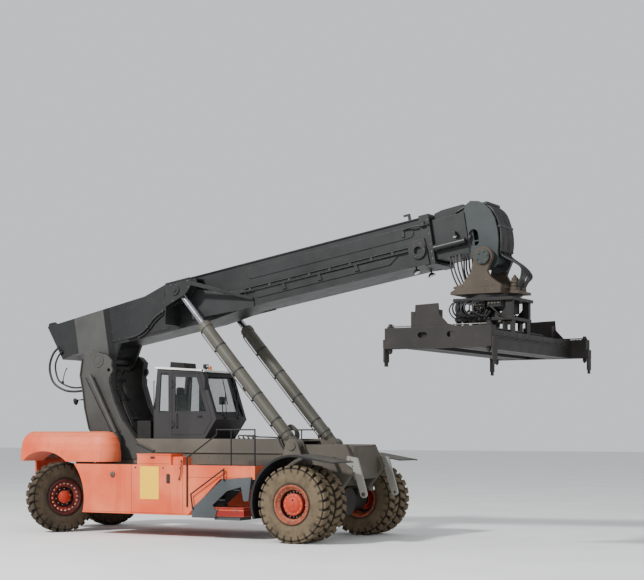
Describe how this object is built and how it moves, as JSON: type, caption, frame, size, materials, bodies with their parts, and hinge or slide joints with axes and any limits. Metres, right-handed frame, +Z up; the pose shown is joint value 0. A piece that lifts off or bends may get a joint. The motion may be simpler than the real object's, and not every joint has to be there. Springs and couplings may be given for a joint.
{
  "type": "reach stacker",
  "caption": "Wheeled container handler: a telescopic boom on a rear tower carries a turning top spreader over the front axle.",
  "frame": {"origin": "on the ground under the middle of the machine's outline", "axes": "+X the way the machine faces, +Y to its left, +Z up"},
  "size_m": [14.055, 6.06, 7.7522],
  "materials": {
    "frame_grey": "matt",
    "tower_grey": "matt",
    "faded_orange": "satin",
    "cast_engine": "matt",
    "axle_dark": "matt",
    "guard_black": "satin",
    "step_blue_grey": "satin",
    "pale_grey": "satin",
    "cab_grey": "satin",
    "cab_glass": "gloss",
    "seat_black": "matt",
    "tyre_rear": "matt",
    "tyre_front": "matt",
    "rim_orange": "satin",
    "boom_charcoal": "satin",
    "head_grey": "satin",
    "barrel_grey": "satin",
    "rod_chrome": "polished",
    "hanger_brown": "matt",
    "spreader_black": "satin",
    "beam_grey": "matt"
  },
  "bodies": {
    "chassis": {"chassis_frame": "frame_grey", "boom_tower": "tower_grey", "counterweight": "faded_orange", "tank_right": "faded_orange", "tank_left": "faded_orange", "battery_box": "faded_orange", "engine_block": "cast_engine", "drive_axle": "axle_dark", "steer_axle": "axle_dark", "mudguards": "guard_black", "steps_right": "step_blue_grey", "steps_left": "step_blue_grey", "handrails": "guard_black", "tower_pipe": "tower_grey", "lift_feet": "frame_grey", "support_arms": "pale_grey", "tow_coupling": "axle_dark", "cab_shell": "cab_grey", "cab_glass": "cab_glass", "cab_seat": "seat_black", "cab_roof_unit": "guard_black"},
    "door_right_body": {"door_right": "cab_grey"},
    "door_left_body": {"door_left": "cab_grey"},
    "knuckle_right_body": {"knuckle_right": "axle_dark"},
    "knuckle_left_body": {"knuckle_left": "axle_dark"},
    "rear_wheel_right": {"rear_tyre_right": "tyre_rear", "rear_rim_right": "rim_orange"},
    "rear_wheel_left": {"rear_tyre_left": "tyre_rear", "rear_rim_left": "rim_orange"},
    "front_wheels_right": {"front_tyres_right": "tyre_front", "front_rims_right": "rim_orange"},
    "front_wheels_left": {"front_tyres_left": "tyre_front", "front_rims_left": "rim_orange"},
    "boom": {"outer_boom": "boom_charcoal", "lift_brackets": "boom_charcoal"},
    "boom_inner": {"inner_boom": "boom_charcoal", "boom_head": "head_grey"},
    "lift_barrel_pair": {"lift_barrels": "barrel_grey"},
    "lift_rod_pair": {"lift_rods": "rod_chrome"},
    "hanger_body": {"hanger": "hanger_brown"},
    "rotator_body": {"rotator": "spreader_black"},
    "spreader": {"spreader_frame": "spreader_black"},
    "arm_right": {"spreader_arm_right": "beam_grey", "twistlocks_right": "axle_dark"},
    "arm_left": {"spreader_arm_left": "beam_grey", "twistlocks_left": "axle_dark"}
  },
  "joints": [
    {"name": "boom_lift", "type": "hinge", "parent": "chassis", "child": "boom", "pos_m": [-4.82752, 0, 4.38], "axis": [0, -1, 0], "range_deg": [-9.4, 45.6]},
    {"name": "boom_extend", "type": "slide", "parent": "boom", "child": "boom_inner", "axis": [0.9866, 0, 0.1633], "range_m": [0, 6.6]},
    {"name": "head_tilt", "type": "hinge", "parent": "boom_inner", "child": "hanger_body", "pos_m": [5.76252, 0, 6.45043], "axis": [0, 1, 0], "range_deg": [-9.4, 45.6]},
    {"name": "rotator_turn", "type": "hinge", "parent": "hanger_body", "child": "rotator_body", "pos_m": [5.76252, 0, 5.63043], "axis": [0, 0, 1], "range_deg": [-105, 195]},
    {"name": "side_shift", "type": "slide", "parent": "rotator_body", "child": "spreader", "axis": [0, -1, 0], "range_m": [-0.8, 0.8]},
    {"name": "arm_right_out", "type": "slide", "parent": "spreader", "child": "arm_right", "axis": [0, -1, 0], "range_m": [0, 3.05]},
    {"name": "arm_left_out", "type": "slide", "parent": "spreader", "child": "arm_left", "axis": [0, 1, 0], "range_m": [0, 3.05]},
    {"name": "lift_barrel_tilt", "type": "hinge", "parent": "chassis", "child": "lift_barrel_pair", "pos_m": [1.12248, 0, 2.22], "axis": [0, -1, 0], "range_deg": [-2, 5]},
    {"name": "lift_rod_slide", "type": "slide", "parent": "lift_barrel_pair", "child": "lift_rod_pair", "axis": [-0.6571, 0, 0.7538], "range_m": [-0.51, 2.45]},
    {"name": "steer_right_turn", "type": "hinge", "parent": "chassis", "child": "knuckle_right_body", "pos_m": [-5.86752, -1.2, 0.895], "axis": [0, 0, 1], "range_deg": [-117, 3]},
    {"name": "steer_left_turn", "type": "hinge", "parent": "chassis", "child": "knuckle_left_body", "pos_m": [-5.86752, 1.2, 0.895], "axis": [0, 0, 1], "range_deg": [-117, 3]},
    {"name": "rear_wheel_right_spin", "type": "hinge", "parent": "knuckle_right_body", "child": "rear_wheel_right", "pos_m": [-5.532, -1.3784, 0.895], "axis": [-0.8829, 0.4695, 0], "continuous": true},
    {"name": "rear_wheel_left_spin", "type": "hinge", "parent": "knuckle_left_body", "child": "rear_wheel_left", "pos_m": [-6.16697, 1.43395, 0.895], "axis": [-0.788, 0.6157, 0], "continuous": true},
    {"name": "front_wheels_right_spin", "type": "hinge", "parent": "chassis", "child": "front_wheels_right", "pos_m": [1.72248, -1.93, 0.895], "axis": [0, 1, 0], "continuous": true},
    {"name": "front_wheels_left_spin", "type": "hinge", "parent": "chassis", "child": "front_wheels_left", "pos_m": [1.72248, 1.93, 0.895], "axis": [0, 1, 0], "continuous": true},
    {"name": "door_right_swing", "type": "hinge", "parent": "chassis", "child": "door_right_body", "pos_m": [-2.57152, -0.716, 2.78], "axis": [0, 0, -1], "range_deg": [0, 80]},
    {"name": "door_left_swing", "type": "hinge", "parent": "chassis", "child": "door_left_body", "pos_m": [-2.57152, 0.716, 2.78], "axis": [0, 0, 1], "range_deg": [0, 80]}
  ],
  "couplings": [
    {"joint": "lift_barrel_tilt", "follows": "boom_lift", "ratio": 0.075},
    {"joint": "lift_rod_slide", "follows": "boom_lift", "m_per_rad": 3.025},
    {"joint": "arm_left_out", "follows": "arm_right_out", "ratio": 1},
    {"joint": "steer_left_turn", "follows": "steer_right_turn", "ratio": 1}
  ]
}
